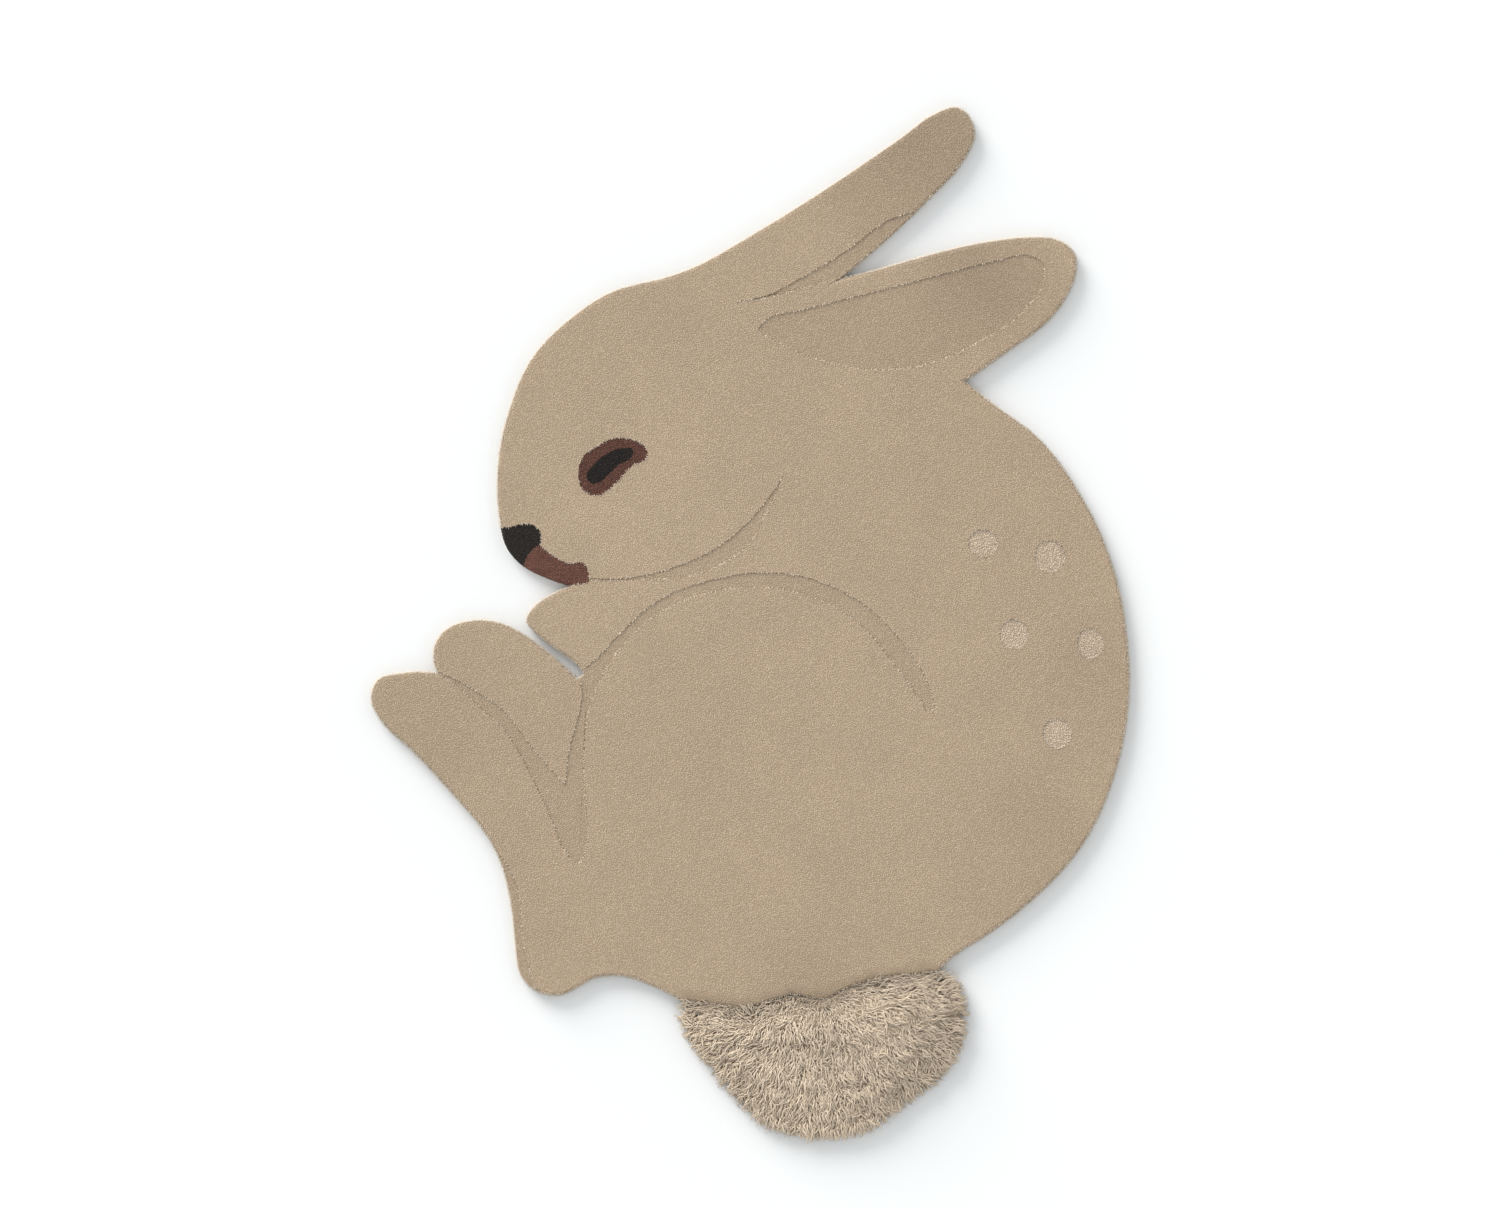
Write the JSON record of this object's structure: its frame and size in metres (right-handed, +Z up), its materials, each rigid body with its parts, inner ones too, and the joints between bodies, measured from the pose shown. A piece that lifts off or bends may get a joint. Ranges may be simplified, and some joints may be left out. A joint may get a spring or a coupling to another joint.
{
  "type": "rabbit shaped rug",
  "caption": "Child's hand-tufted rug in the outline of a curled-up rabbit, with carved ears, cheek and legs, inlaid face and spots, and a shag tail.",
  "frame": {"origin": "on the floor under the middle of the rug's bounding box", "axes": "+Z up, with the pile; +Y from the tail to the ears, the rug's length; +X from the face to the back"},
  "size_m": [0.808, 1.0988, 0.0382],
  "materials": {
    "beige_pile": "matte",
    "light_yarn": "matte",
    "shag_yarn": "matte",
    "brown_yarn": "matte",
    "black_yarn": "matte"
  },
  "bodies": {
    "root": {"rug_body": "beige_pile", "eye_rim": "brown_yarn", "pupil": "black_yarn", "nose": "black_yarn", "mouth": "brown_yarn", "spot_1": "light_yarn", "spot_2": "light_yarn", "spot_3": "light_yarn", "spot_4": "light_yarn", "spot_5": "light_yarn", "tail_shag": "shag_yarn"}
  },
  "joints": []
}
